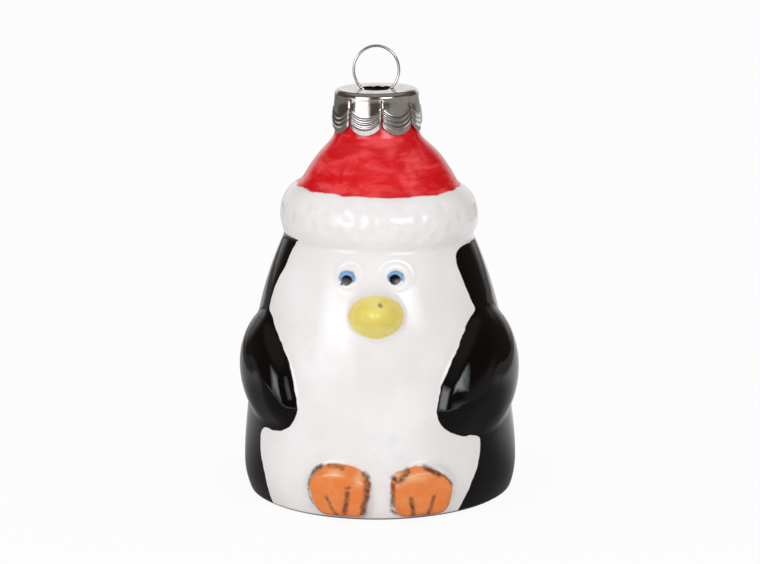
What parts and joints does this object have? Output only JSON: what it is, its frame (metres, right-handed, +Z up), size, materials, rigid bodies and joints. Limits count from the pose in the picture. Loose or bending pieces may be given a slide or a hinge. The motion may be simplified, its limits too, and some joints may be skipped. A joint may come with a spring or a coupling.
{
  "type": "penguin tree ornament",
  "caption": "Hollow glazed ceramic penguin in a fur-brimmed hat, hung by a sprung wire loop through a stamped crown cap that turns on its neck.",
  "frame": {"origin": "centre of the flat foot that the figure stands on", "axes": "+Z up through the neck and the hanger, -Y the way the penguin looks, +X its left"},
  "size_m": [0.0699, 0.0707, 0.1116],
  "materials": {
    "white_glaze": "clear glossy glaze over white clay",
    "red_glaze": "brushed red under clear glaze",
    "black_glaze": "black under clear glaze",
    "yellow_glaze": "brushed yellow under clear glaze",
    "orange_glaze": "brushed orange with dark lines under clear glaze",
    "nickel_plate": "bright plated sheet",
    "bright_wire": "bright drawn wire"
  },
  "bodies": {
    "figure": {"body_casting": "white_glaze", "hat_casting": "red_glaze", "hat_brim": "white_glaze", "right_flipper": "black_glaze", "left_flipper": "black_glaze", "right_foot": "orange_glaze", "left_foot": "orange_glaze", "beak": "yellow_glaze", "right_eye": "white_glaze", "left_eye": "white_glaze"},
    "cap": {"crown_cap": "nickel_plate"},
    "hanger": {"wire_hanger": "bright_wire"}
  },
  "joints": [
    {"name": "cap_turn", "type": "hinge", "parent": "figure", "child": "cap", "pos_m": [0, 0, 0.1008], "axis": [0, 0, 1], "continuous": true},
    {"name": "hanger_lift", "type": "slide", "parent": "cap", "child": "hanger", "axis": [0, 0, 1], "range_m": [0, 0.004]}
  ]
}
